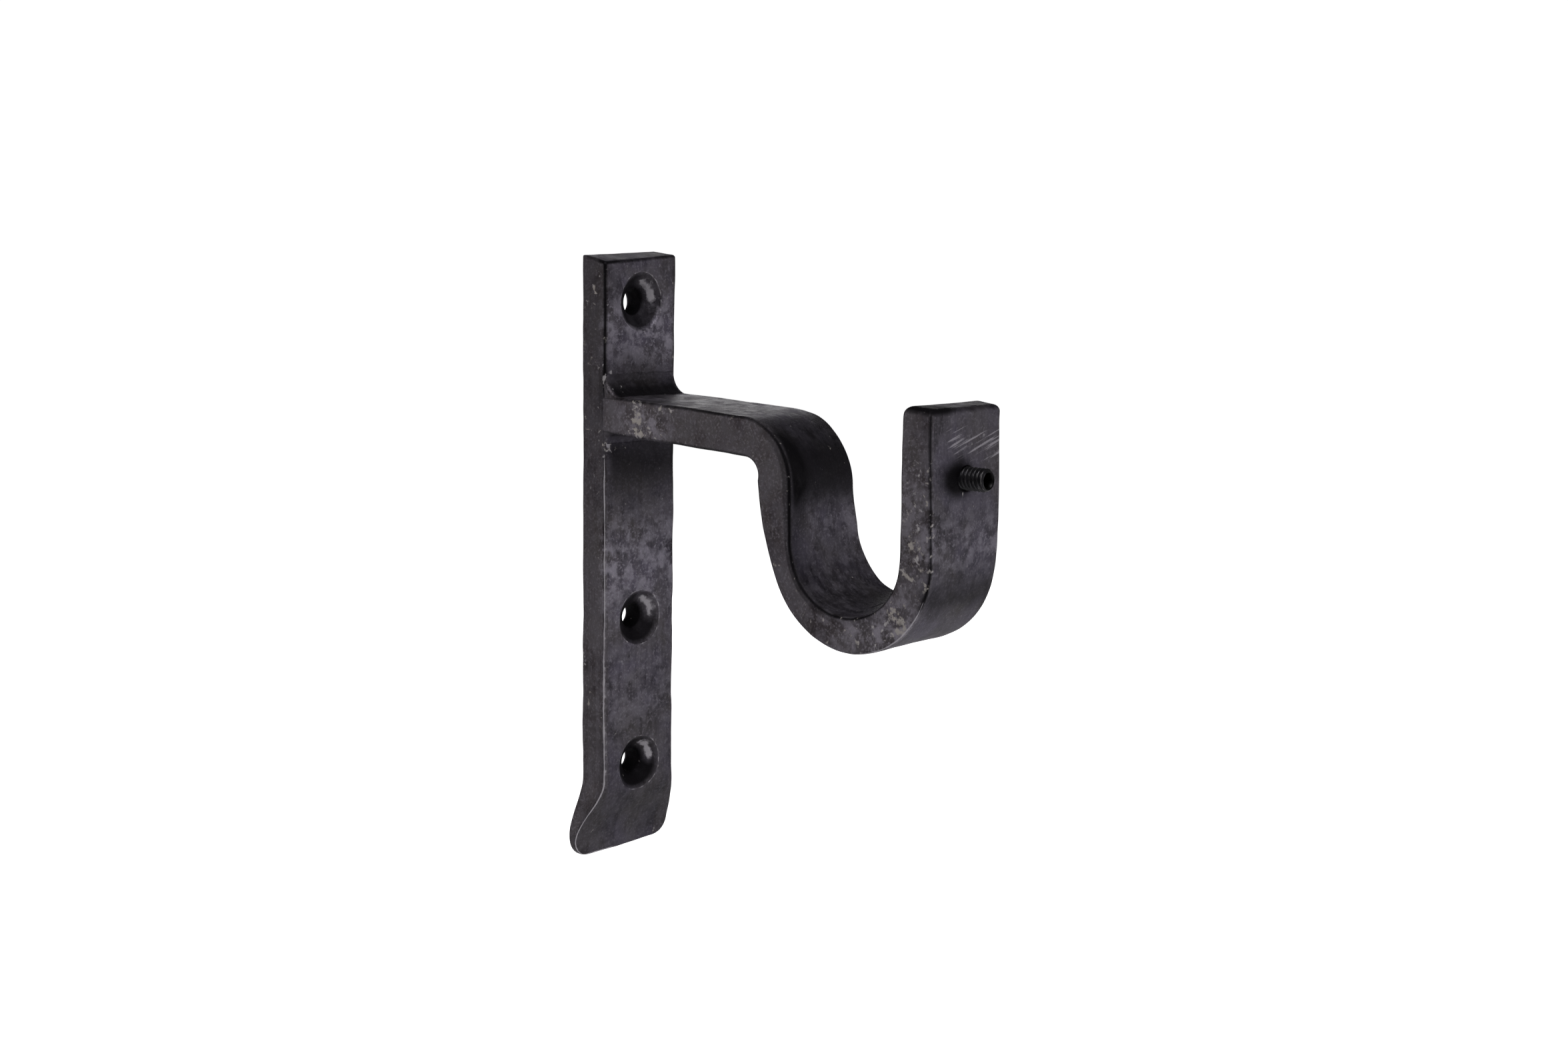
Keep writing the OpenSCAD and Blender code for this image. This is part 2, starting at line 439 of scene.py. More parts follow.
iron = dict(
    # tones of the oxide, then the near black of the painted shade, of rubbed metal and of the flecks
    cool=(0.078, 0.070, 0.096), warm=(0.062, 0.056, 0.058), rusty=(0.088, 0.062, 0.056),
    dusk=(0.018, 0.0155, 0.0205), light=(0.36, 0.34, 0.39), deep=(0.006, 0.0052, 0.0068),
    worn=(0.50, 0.48, 0.51), fleckCool=(0.52, 0.50, 0.51), fleckWarm=(0.46, 0.43, 0.395),
    scaleSize=75.0, brushSize=850.0, fleckSize=720.0, breakup=0.55, scratchTurn=0.28,
    # how much each layer shows; a pair is what rubbing adds and what shows without it
    sideWarmth=0.75, rustShare=0.35, duskShare=0.7, mottleShare=(0.62, 0.14), streakShare=0.10,
    grainShare=(0.30, 0.20), scratchShare=0.5, fleckShare=0.75, wornShare=0.8,
    specular=0.25, metallic=0.75, bareLoss=0.45,
    roughness=0.40, mottleRough=0.16, streakRough=0.08, sootRough=0.15,
    streakHeight=0.10, bareHeight=0.10, reliefDepth=0.4,
)


def blackenedIron(name, streakStretch, relief=0.5):
    # waxed black iron: each layer of tone is mixed over the last by its own mask, from the oxide's clouds
    # through painted shade to the bare metal of scratches, flecks and edges
    material, tree, shader = newMaterial(name, Specular_IOR_Level=iron["specular"])
    place = ("Vector", tree.nodes.new("ShaderNodeTexCoord").outputs["Object"])
    labels = ("wear", "soot", "fleckZone", "scratchZone", "rubbed", "sideFace")
    wear, soot, fleckZone, scratchZone, rubbed, side = (attribute(tree, label) for label in labels)
    scale = useGroup(tree, forgeScale, [place], Size=iron["scaleSize"])
    streak = useGroup(tree, brushMarks, [place], Stretch=streakStretch, Size=iron["brushSize"])["Streak"]
    worn = useGroup(tree, edgeWear, [place, ("Wear", wear)], Breakup=iron["breakup"])["Mask"]
    chips = useGroup(tree, flecks, [place, ("Zone", fleckZone)], Size=iron["fleckSize"])
    scratchTurn = (0.0, iron["scratchTurn"], 0.0)
    lines = useGroup(tree, scratches, [place, ("Zone", scratchZone)], Turn=scratchTurn)["Mask"]
    coolness = times(tree, scale["Tone"], timesPlus(tree, side, -iron["sideWarmth"], 1.0))
    rust = times(tree, times(tree, scale["Shade"], side), iron["rustShare"])
    mottle = times(tree, scale["Mottle"], timesPlus(tree, rubbed, *iron["mottleShare"]))
    grain = times(tree, scale["Grain"], timesPlus(tree, rubbed, *iron["grainShare"]))
    layers = [
        (rust, iron["rusty"]),
        (times(tree, scale["Shade"], iron["duskShare"]), iron["dusk"]),
        (mottle, iron["light"]),
        (times(tree, streak, iron["streakShare"]), iron["light"]),
        (grain, iron["light"]),
        # painted shade: a near black tone wherever the pieces ask for it
        (soot, iron["deep"]),
        (times(tree, lines, iron["scratchShare"]), iron["worn"]),
        (times(tree, chips["Mask"], iron["fleckShare"]),
         mixColour(tree, chips["Tint"], iron["fleckCool"], iron["fleckWarm"])),
        (times(tree, worn, iron["wornShare"]), iron["worn"]),
    ]
    colour = mixColour(tree, coolness, iron["warm"], iron["cool"])
    for share, tone in layers:
        colour = mixColour(tree, share, colour, tone)
    tree.links.new(colour, shader.inputs["Base Color"])
    bare = maths(tree, "MAXIMUM", worn, chips["Mask"])
    tree.links.new(timesPlus(tree, bare, -iron["bareLoss"], iron["metallic"]), shader.inputs["Metallic"])
    rough = timesPlus(tree, scale["Mottle"], iron["mottleRough"], iron["roughness"])
    rough = timesPlus(tree, streak, iron["streakRough"], rough)
    tree.links.new(timesPlus(tree, soot, iron["sootRough"], rough), shader.inputs["Roughness"])
    height = timesPlus(tree, streak, iron["streakHeight"], scale["Height"])
    height = timesPlus(tree, bare, iron["bareHeight"], height)
    addRelief(tree, shader, height, relief, iron["reliefDepth"])
    return material


steel = dict(
    dark=(0.012, 0.012, 0.013), light=(0.024, 0.023, 0.026),
    # deep is the near black of the painted shade
    deep=(0.002, 0.002, 0.002), worn=(0.30, 0.29, 0.29),
    scaleSize=260.0, turnedSize=5200.0, turnedStretch=(0.1, 1.0, 0.1), breakup=0.5, wornShare=0.75,
    specular=0.3, metallic=0.6, wornMetallic=0.3,
    roughness=0.30, mottleRough=0.14, turnedRough=0.08, turnedHeight=0.3, relief=0.3, reliefDepth=0.08,
)


def blackOxideSteel(name):
    # machined steel in a thin black finish, rubbed a little on the crests, which also stands in for painted
    # highlights there, and black with painted shade inside the socket and on the end face
    material, tree, shader = newMaterial(name, Specular_IOR_Level=steel["specular"])
    place = ("Vector", tree.nodes.new("ShaderNodeTexCoord").outputs["Object"])
    wear, soot = attribute(tree, "wear"), attribute(tree, "soot")
    scale = useGroup(tree, forgeScale, [place], Size=steel["scaleSize"])
    turned = useGroup(tree, brushMarks, [place],
                      Stretch=steel["turnedStretch"], Size=steel["turnedSize"])["Streak"]
    worn = useGroup(tree, edgeWear, [place, ("Wear", wear)], Breakup=steel["breakup"])["Mask"]
    colour = mixColour(tree, scale["Tone"], steel["dark"], steel["light"])
    # painted shade, near black
    colour = mixColour(tree, soot, colour, steel["deep"])
    colour = mixColour(tree, times(tree, worn, steel["wornShare"]), colour, steel["worn"])
    tree.links.new(colour, shader.inputs["Base Color"])
    tree.links.new(timesPlus(tree, worn, steel["wornMetallic"], steel["metallic"]), shader.inputs["Metallic"])
    rough = timesPlus(tree, scale["Mottle"], steel["mottleRough"], steel["roughness"])
    tree.links.new(timesPlus(tree, turned, steel["turnedRough"], rough), shader.inputs["Roughness"])
    height = timesPlus(tree, turned, steel["turnedHeight"], scale["Height"])
    addRelief(tree, shader, height, steel["relief"], steel["reliefDepth"])
    return material


# the streaks run along each bar and each bead
plateIron = blackenedIron("plateIron", (1.0, 1.0, 0.07))
armIron = blackenedIron("armIron", (1.0, 0.25, 0.25))
weldIron = blackenedIron("weldIron", (0.3, 1.0, 1.0), relief=0.7)
screwSteel = blackOxideSteel("screwSteel")
print("materials made")


# the wall plate
plate = dict(
    # the countersunk holes: rings are counted in grid cells from the middle of a hole
    countersink=10.9, rimRound=0.10, rimInside=0.02, coneInside=0.1, coneStart=0.06, backChamfer=0.25,
    boreDrift=-0.5, boreChoke=0.1, boreRows=9,
    holePatch=7.0, holeCells=20, rimRing=15, boreRing=9, backRing=10,
    # edges: how much of the rounding the back has, and the stretch beside the arm that is ground flush
    edgeSeed=31, backEdge=0.5, backDepth=(1, 3), leastRound=0.03, mostRound=1.15,
    flush=(0.95, 30.2, 6.5), flushDepth=(3, 5), frontDepth=(4, 6),
    # the foot
    footStart=43.0, footReach=9.5, footPower=2.2, footTip=0.85,
    nearFlare=3.8, farFlare=3.25, flareLength=11.5, nearCorner=4.7, farCorner=3.3,
    # the top, and how far the bar wanders sideways below and above the arm
    topReach=9, topRise=-0.18, topSlantFar=1.55, topSlantBack=1.3,
    lowShift=(0.35, 0, 25), topShift=(0.25, 34, 50),
)
# marks on the plate. Three numbers are a strength and then the middle and half width of a patch or the start
# and end of a fade; two are that place alone. X is across the plate and Z is height
plateMarks = dict(
    # the line of rubbed metal down the near front edge, strongest below the arm, and the chips beside it
    edgeWear=0.28, edgeStrength=0.62, edgeLow=(0.3, 5, 30), edgeHigh=(0.3, 5, 18), edgeTop=(18, 24),
    edgeHalf=(0, 5), edgeSwing=0.22, edgeBase=0.86,
    edgeWaves=(0.9, 0.37),  # radians for each millimetre
    chipsX=(0.41, -9.4, 1.8), chipsStart=(0, 12), chipsEnd=(40, 48),
    brightSpot=(0.75, 24.5, 2.5), brightX=(-8.6, 1.4),
    # the painted shade and the painted highlight in a countersink, and the rubbed metal of its rim
    sinkSoot=0.92, sinkFade=0.4, glintSpan=(0.35, 0.95), glintRing=(4.0, 1.7), glintWear=0.68,
    glintWay=(0.80, 0.60),  # across and up, from the hole's middle to the highlight
    rimWear=0.50, rimRing=(0.15, 0.5),
    # painted shadow below the arm, painted shade above it, on the near edge above it and on the top edge, and
    # darker up the sides and down the foot
    underArm=(0.75, 21, 12), underArmX=(-10, -7), overArm=(0.35, 36, 6), edgeSoot=0.9, topEdgeSoot=0.8,
    nearEdge=(5, 8), aboveArm=(33, 36), topEdge=(57, 58.5), sideSoot=(0.32, -15, 45), footSoot=(0.24, 15, 50),
    # rubbed stretches of the front, and flecks
    rubbed=((0.8, 0, 14), (1.0, 46, 10), (0.2, -28, 12)),
    flecks=0.2, sideFlecks=0.25, edgeFlecks=0.9, flecksX=(1, 6),
    flecksOver=(0.9, 38, 5), flecksUnder=(0.9, 24, 3), flecksTop=(0.9, 54, 5),
)


def plateEdgeWear(x, z, ridge, front):
    # the edge's ridge value times a strength that varies slowly along the edge, and a patch for the chips
    at = plateMarks
    fast, slow = at["edgeWaves"]
    below = 1 - smoothStep(z, *at["edgeTop"])
    near = smoothStep(-x, *at["edgeHalf"]) * front
    strength = at["edgeStrength"] + fade(-z, *at["edgeLow"]) + fade(z, *at["edgeHigh"])
    strength *= at["edgeBase"] + at["edgeSwing"] * np.sin(fast * z) * np.sin(slow * z + 1)
    along = smoothStep(-z, *at["chipsStart"]) * (1 - smoothStep(-z, *at["chipsEnd"]))
    chips = patch(x, *at["chipsX"]) * front * along
    return np.maximum(ridge * (at["edgeWear"] + strength * below * near), chips)


def holeRadii(boreRadius, front):
    # circle radii by ring number: in front a cone from the bore to the rim, behind the choked bore's chamfer
    boreRing, rimRing, sinkRadius = plate["boreRing"], plate["rimRing"], plate["countersink"] / 2
    if not front:
        choked = boreRadius - plate["boreChoke"]
        return {plate["backRing"]: choked + plate["backChamfer"], boreRing: choked}
    radii = {rimRing: sinkRadius + plate["rimRound"], rimRing - 1: sinkRadius - plate["rimInside"]}
    wide = sinkRadius - plate["coneInside"] - boreRadius
    for ring in range(boreRing, rimRing - 1):
        radii[ring] = boreRadius + wide * (ring - boreRing) / (rimRing - 2 - boreRing)
    return radii


def shapeFootAndTop(x, y, z, thick, bottom, top):
    # the foot is thinned from the front by loss * (1 - exp(-(down / reach) ^ power)), spread to both sides,
    # and its corners are rounded by circles
    down = np.clip(-plate["footStart"] - z, 0, None)
    thinning = (thick - plate["footTip"]) * (1 - np.exp(-(down / plate["footReach"]) ** plate["footPower"]))
    y = y * (1 - thinning / thick)
    spread = smoothStep(-z, plate["footStart"], plate["footStart"] + plate["flareLength"])
    flare = np.where(x < 0, plate["nearFlare"], plate["farFlare"]) * spread
    corner = np.where(x < 0, plate["nearCorner"], plate["farCorner"])
    cut = np.clip(corner - (z - bottom), 0, corner)
    flare -= corner - np.sqrt(corner ** 2 - cut ** 2)
    x = x * (1 + (flare + bar["swell"]) / barHalf)
    x = x - fade(-z, *plate["lowShift"]) + fade(z, *plate["topShift"])
    # the top is sawn a little out of square: it rises towards the far side and the back
    rise = smoothStep(z, top - plate["topReach"], top)
    far = (x + barHalf) / (2 * barHalf)
    behind = (y + thick) / thick
    slant = plate["topRise"] + plate["topSlantFar"] * far + plate["topSlantBack"] * behind * (1 - 0.5 * far)
    return np.c_[x, y, z + rise * slant]


def plateAttributes(x, z, ridge, front, wear, soot):
    # where painted shade, darker patches, rubbed metal and flecks lie, as sums of patches and fades over the
    # front and the sides
    at = plateMarks
    side = onSide(x)
    nearEdge = ridge * front * smoothStep(-x, *at["nearEdge"])
    above = smoothStep(z, *at["aboveArm"])
    underArm = patch(z, *at["underArm"]) * smoothStep(x, *at["underArmX"])
    # painted shadow of the arm on the front below it, and painted shade in the corner above it
    soot = soot + front * (underArm + patch(z, *at["overArm"]))
    # painted shade along the near edge above the arm and along the front's top edge
    soot += at["edgeSoot"] * np.sqrt(nearEdge) * above
    soot += at["topEdgeSoot"] * np.sqrt(ridge) * front * smoothStep(z, *at["topEdge"])
    # darker up the sides towards the top and down the front towards the foot
    soot += side * fade(z, *at["sideSoot"]) + front * fade(-z, *at["footSoot"])
    rubbed = front * sum(patch(z, *place) for place in at["rubbed"])
    fleckZone = at["flecks"] + at["sideFlecks"] * side + at["edgeFlecks"] * nearEdge * above
    byArm = patch(z, *at["flecksOver"]) + patch(z, *at["flecksUnder"])
    fleckZone += front * smoothStep(-x, *at["flecksX"]) * byArm + side * patch(z, *at["flecksTop"])
    wear = wear + front * patch(z, *at["brightSpot"]) * bump(x, *at["brightX"])
    return dict(wear=wear, soot=np.clip(soot, 0, 1), fleckZone=np.clip(fleckZone, 0, 1), scratchZone=0 * z,
                rubbed=rubbed, sideFace=side)


def buildPlate():
    low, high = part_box("wall_plate")
    thick, top, bottom = -low.y / mm, high.z / mm, low.z / mm
    holes = [mounts[n] for n in ("top_screw_hole", "middle_screw_hole", "low_screw_hole")]
    boreRadius = holes[0]["dims"]["r_mm"]
    holeZ = [h["pos_m"][2] / mm for h in holes]
    half = plate["holePatch"]
    cellSize = half / plate["holeCells"]
    xs = linesWithEdges(-barHalf, barHalf, [-half, half], cellSize)
    ys = linesWithEdges(-thick, 0, [], cellSize)
    holeEdges = [z + side * half for z in reversed(holeZ) for side in (-1, 1)]
    zs = linesWithEdges(bottom, top, holeEdges, cellSize)
    counts = len(xs), len(ys), len(zs)
    middleX = int(np.argmin(np.abs(xs)))
    rows = [int(np.argmin(np.abs(zs - z))) for z in holeZ]
    cuts = [(middleX, row, plate["boreRing"]) for row in rows]
    places, faces, keys = blockSkin([count - 1 for count in counts], cuts)
    points = np.c_[xs[places[:, 0]], ys[places[:, 1]], zs[places[:, 2]]]
    # the long edges: unevenly worn, flush with the arm where it was ground, and sharper at the back
    softness = 1 + bar["edgeVariation"] * waves(points, bar["edgePatch"], plate["edgeSeed"])
    softness *= 1 - patch(points[:, 2], *plate["flush"]) * smoothStep(-points[:, 1], *plate["flushDepth"])
    softness *= plate["backEdge"] + fade(-points[:, 1], 1 - plate["backEdge"], *plate["backDepth"])
    softness = np.clip(softness, plate["leastRound"], plate["mostRound"])
    lowBlock, highBlock = np.array([-barHalf, -thick, bottom]), np.array([barHalf, 0, top])
    shaped, ridge = roundedBlock(points, lowBlock, highBlock, softness)
    # the holes: each ring of cells is moved onto its circle and sunk along the cone
    depth, soot, rimWear = np.zeros((3, len(points)))
    sinkRadius = plate["countersink"] / 2
    sinkDepth = thick - holes[0]["dims"]["length_mm"]
    slope = sinkDepth / (sinkRadius - boreRadius)
    rimPlace, rimWidth = plateMarks["rimRing"]
    tubes = []
    for row, z in zip(rows, holeZ):
        offsets = np.c_[places[:, 0] - middleX, places[:, 2] - row]
        ends = []
        for level in (0, len(ys) - 1):
            front = level == 0
            ids = np.flatnonzero(places[:, 1] == level)
            centre = np.array([0 if front else plate["boreDrift"], z])
            moved, inside, ring, radius = openHole(shaped[ids][:, [0, 2]], offsets[ids], centre,
                                                   plate["holeCells"], holeRadii(boreRadius, front))
            shaped[np.ix_(ids, [0, 2])] = moved
            ringIds = ids[inside]
            if front:
                sunk = np.clip(sinkRadius + plate["coneStart"] - radius, 0, None) * slope
                depth[ringIds] = np.where(ring <= plate["rimRing"], np.minimum(sunk, sinkDepth), 0)
                # a painted highlight on the upper far side of each cone
                towards = (moved[inside] - centre) @ np.array(plateMarks["glintWay"]) / radius
                glint = smoothStep(towards, *plateMarks["glintSpan"]) * bump(radius, *plateMarks["glintRing"])
                # painted shade darkens each cone, except where the painted highlight lies
                within = smoothStep(-radius, -sinkRadius, -sinkRadius + plateMarks["sinkFade"])
                soot[ringIds] = plateMarks["sinkSoot"] * within * (1 - glint)
                rim = bump(radius, sinkRadius + rimPlace, rimWidth)
                # the rim's rubbed metal and the painted highlight share these wear values
                rimWear[ringIds] = plateMarks["rimWear"] * rim + plateMarks["glintWear"] * glint
            else:
                depth[ringIds] = np.where(ring <= plate["boreRing"], -plate["backChamfer"], 0)
            ends.append(np.searchsorted(keys, ringKeys(plate["boreRing"], middleX, row, level, counts)))
        tubes.append(ends)
    shaped[:, 1] += depth
    shaped = shapeFootAndTop(*shaped.T, thick, bottom, top)
    front = smoothStep(-points[:, 1], *plate["frontDepth"])
    wear = np.maximum(plateEdgeWear(shaped[:, 0], shaped[:, 2], ridge, front), rimWear)
    for first, last in tubes:
        start, finish = shaped[first], shaped[last]
        rings = [start + (finish - start) * t for t in np.linspace(0, 1, plate["boreRows"])[1:-1]]
        shaped, faces = addTube(shaped, faces, first, last, rings)
    inBores = np.zeros(len(shaped) - len(wear))
    wear, ridge, front = (np.append(values, inBores) for values in (wear, ridge, front))
    # painted shade: the bores are painted fully dark
    soot = np.append(soot, inBores + 1)
    shaped = hammered(shaped)
    shaped[:, 1] = np.minimum(shaped[:, 1], 0)  # the back lies flat on the wall
    values = plateAttributes(shaped[:, 0], shaped[:, 2], ridge, front, wear, soot)
    makePiece("wallPlate", shaped, faces, "wall_plate", "bracket", plateIron, values)


buildPlate()


# the bent arm
arm = dict(
    # the bar's thickness, the height of its top at the wall and its fall in degrees
    thick=7.1, topZ=33.7, fall=2.2,
    # the bends: radii, the back leg's thickness and lean in degrees, and where the front leg runs straight
    shoulderRound=12.0, armpitRound=3.8, backLeg=7.3, lean=6.0, outerRound=18.1, legStart=7,
    bendSteps=46, roundSteps=110, step=0.42, edgeSeed=32, leastRound=0.5, mostRound=1.15,
    # the tip
    tipThick=5.5, tipRoundIn=2.1, tipRoundOut=1.2, tipRoundSide=1.3, tipRows=12, tipRidge=(0.8, 0.4, 0.9),
    tipRise=0.25, tipBackRise=0.5,
    # the tapped hole, with painted shade inside it, and the even stretch round it without hammer marks
    holePatch=3.6, holeCells=12, holeRing=8, holeMouth=2.32, holeSoot=0.8,
    calmReach=7, calmFrom=70, calmFade=0.6,
    # how far the far or the near side strays from true
    farShoulder=1.7, farBack=1.35, farFloor=1.5, farFront=0.5, farTip=0.65, farBulge=0.5, farLift=0.75,
    nearPit=0.8, nearLeg=0.42, nearFlat=0.35,
    # where it does: middle and half width, along the bar, in height or in degrees round the cradle
    shoulderFrom=16, shoulderAt=(3.5, 14), shoulderWay=(0.62, 0.78), backAt=(-7.5, 13), floorHalf=13,
    legRise=12, bulgeAt=(-38, 38), liftAt=(-95, 28), flatAt=(-135, 45), pitAt=(15, 12), frontAt=(20, 13),
    tipReach=22,
)
# marks on the arm, written as the plate's are. X is across the bar, U from the wall and Z up
armMarks = dict(
    nearHalf=(2, 6), topFace=0.8, legFront=(82, 84),
    edgeWear=0.28, cradleWear=(0.85, -3, 10), cradleWearU=(68, 74),
    # clusters of flecks on the near side: at the root, round the cradle and up the front leg
    rootU=(17, 12), rootZ=(29.5, 7), cradleU=(77, 14), cradleZ=(0, 11), tipU=(77, 79), tipZ=(18, 20),
    flecks=0.2, sideFlecks=0.3, rootFlecks=1.1, cradleFlecks=0.85, tipFlecks=0.9,
    scratches=(0.95, 30, 7), scratchesX=(-8, -3),
    # painted shade along the near edges, on the tip and over the shoulder; darker round the screw, down the
    # front leg, on the cradle's floor and inside the back leg
    edgeSoot=0.85, edgeSootUnder=(0, 6), edgeSootTop=(-8, 0),
    screwX=-2.2, screwFlat=1.3, screwSoot=0.95, screwReach=(1.8, 6.2), tipSoot=(0.4, -0.8, -0.2),
    legSoot=0.15, legFoot=(0.4, 3, 9),
    shoulderSoot=(0.9, -9.5, -7.5), floorU=(0.5, 66, 13), floorZ=(2, 8), backU=(0.5, 54, 10), backX=(-9, 6),
    # rubbed stretches
    tipRubbed=0.5, rootRubbed=0.9, sideU=(75, 20), sideZ=(1.0, -2, 13), legRubbed=(0.6, 13, 9),
    backRubbed=(0.5, 16, 8), backEnd=62,
)
thread = dict(
    pitch=25.4 / 32, root=1.60, crest=2.04, holeCrest=1.70, holeRoot=2.13, perTurn=12,
    crestShare=0.80, flankShare=0.65, holeWiden=0.12,
)


def arcPoints(middle, radius, start, finish, count):
    turn = np.radians(np.linspace(start, finish, count))
    return np.c_[middle[0] + radius * np.cos(turn), middle[1] + radius * np.sin(turn)]


def armCurves():
    # the inner curve runs along the top, over the shoulder, round the cradle and up to the tip; the outer one
    # runs under it. Both are cut into the same number of steps, so a pair of points is one cross-section.
    # Points are (distance from the wall, height)
    low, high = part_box("cradle_arm")
    screwLow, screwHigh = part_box("clamp_screw")
    wallFace, tipZ, legFront, floorZ = -high.y / mm, high.z / mm, -low.y / mm, low.z / mm
    holeZ = (screwLow.z + screwHigh.z) / 2 / mm
    _, poleY, poleZ = (v / mm for v in mounts["pole_cradle"]["pos_m"])
    poleU, cradle = -poleY, mounts["pole_cradle"]["dims"]["r_mm"]
    topZ, underZ = arm["topZ"], arm["topZ"] - arm["thick"]
    drop = math.tan(math.radians(arm["fall"]))
    outerMid = (legFront - arm["outerRound"], floorZ + arm["outerRound"])
    backU, legU = poleU - cradle, poleU + cradle
    bendU = backU - arm["shoulderRound"]
    bendZ = topZ - drop * (bendU - wallFace) - arm["shoulderRound"]
    pitU = backU - arm["backLeg"] - arm["armpitRound"]
    pitZ = underZ - drop * (pitU - wallFace) - arm["armpitRound"]
    shoulder = arcPoints((bendU, bendZ), arm["shoulderRound"], 90 - arm["fall"], 0, arm["bendSteps"])
    pit = arcPoints((pitU, pitZ), arm["armpitRound"], 90 - arm["fall"], -arm["lean"], arm["bendSteps"])
    # the straight from the pit's end touches the outer round at this angle
    toMid = pit[-1] - outerMid
    opening = math.acos(arm["outerRound"] / np.linalg.norm(toMid))
    touch = math.degrees(math.atan2(toMid[1], toMid[0]) + opening)
    innerRound = arcPoints((poleU, poleZ), cradle, 180, 360, arm["roundSteps"])
    outerRound = arcPoints(outerMid, arm["outerRound"], touch, 360, arm["roundSteps"])
    # up the front leg: upright inside, and leaning in towards the tip outside
    rootU = wallFace - bar["edgeRound"]
    heights = np.array([poleZ + arm["legStart"], holeZ - arm["holePatch"], holeZ + arm["holePatch"],
                        tipZ - arm["tipRoundIn"]])
    lean = (legU + arm["tipThick"] - legFront) * (heights - outerMid[1]) / (tipZ - outerMid[1])
    rootRise = drop * bar["edgeRound"]
    innerLeg, outerLeg = np.c_[np.full(len(heights), legU), heights], np.c_[legFront + lean, heights]
    inner = np.vstack([[[rootU, topZ + rootRise]], shoulder, innerRound, innerLeg])
    outer = np.vstack([[[rootU, underZ + rootRise]], pit, outerRound, outerLeg])
    gaps = np.linalg.norm(np.diff((inner + outer) / 2, axis=0), axis=1)
    steps = np.maximum(1, np.round(gaps / arm["step"]).astype(int))
    steps[-2] = 2 * arm["holeCells"]
    spots = np.concatenate([[0], *[i + np.arange(1, n + 1) / n for i, n in enumerate(steps)]])
    index = np.arange(len(inner))
    tipLines = arm["tipRoundIn"] * np.sin(np.linspace(0, np.pi / 2, arm["tipRows"] + 1)[1:])

    def finished(curve):
        # cut into the steps, with closer lines added where the tip is rounded
        cut = np.c_[np.interp(spots, index, curve[:, 0]), np.interp(spots, index, curve[:, 1])]
        return np.vstack([cut, np.c_[np.full(len(tipLines), cut[-1, 0]), cut[-1, 1] + tipLines]])

    inner, outer = finished(inner), finished(outer)
    length = np.concatenate([[0], np.cumsum(np.linalg.norm(np.diff((inner + outer) / 2, axis=0), axis=1))])
    holeRow = len(spots) - 1 - steps[-1] - arm["holeCells"]
    return inner, outer, length, holeRow, holeZ, outerMid


def threadWave(turn, y, widen=0.0):
    # 1 on a crest and 0 in a root, for a right-hand thread that climbs one pitch along Y in a turn about Y
    phase = (y / thread["pitch"] - turn / (2 * np.pi)) % 1.0
    away = np.abs(phase - 0.5) * 2
    return np.clip((thread["crestShare"] + widen - away) / thread["flankShare"], 0, 1)


def strayFromTrue(top, under, inner, length, s, far, outerMid):
    # the bar was bent a little out of true: each bend moves by its own amount times a smooth bump over it,
    # most at the far side, where far is 1, or at the near side, where it is 0. Gives the shoulder's bump
    _, poleY, poleZ = (v / mm for v in mounts["pole_cradle"]["pos_m"])
    fromShoulder = np.abs(inner[:, 0] + poleY + arm["shoulderFrom"]) + (inner[:, 1] < poleZ) * 99
    shoulderPast, shoulderHalf = arm["shoulderAt"]
    overShoulder = bump(s, length[np.argmin(fromShoulder)] + shoulderPast, shoulderHalf)
    top -= (arm["farShoulder"] * far * overShoulder)[:, None] * np.array(arm["shoulderWay"])
    backZ, backHalf = arm["backAt"]
    downBack = bump(top[:, 1], poleZ + backZ, backHalf) * (top[:, 0] < -poleY)
    top[:, 0] += arm["farBack"] * far * downBack
    onFloor = bump(top[:, 0], -poleY, arm["floorHalf"]) * (top[:, 1] < poleZ)
    top[:, 1] += arm["farFloor"] * far * onFloor
    upLeg = smoothStep(top[:, 1], poleZ - arm["legRise"], poleZ) * (top[:, 0] > -poleY)
    top[:, 0] -= arm["nearLeg"] * (1 - far) * upLeg
    # the underside moves along rays from the middle of its round
    turn = np.degrees(np.arctan2(under[:, 1] - outerMid[1], under[:, 0] - outerMid[0]))
    rays = np.c_[np.cos(np.radians(turn)), np.sin(np.radians(turn))]
    bulge, lift = patch(turn, arm["farBulge"], *arm["bulgeAt"]), patch(turn, arm["farLift"], *arm["liftAt"])
    under += (far * (bulge - lift))[:, None] * rays
    roundTurn = np.where(turn > 90, turn - 360, turn)
    under -= (arm["nearFlat"] * (1 - far) * bump(roundTurn, *arm["flatAt"]))[:, None] * rays
    under[:, 0] -= arm["nearPit"] * (1 - far) * bump(under[:, 1], *arm["pitAt"]) * (under[:, 0] < outerMid[0])
    under[:, 0] += arm["farFront"] * far * bump(under[:, 1], *arm["frontAt"]) * (under[:, 0] > outerMid[0])
    atTip = smoothStep(s, length[-1] - arm["tipReach"], length[-1])
    top[:, 0] += arm["farTip"] * far * atTip
    under[:, 0] += arm["farTip"] * far * atTip
    top[:, 1] += (arm["tipRise"] + arm["tipBackRise"]) * atTip ** 2
    under[:, 1] += arm["tipRise"] * atTip ** 2
    return overShoulder


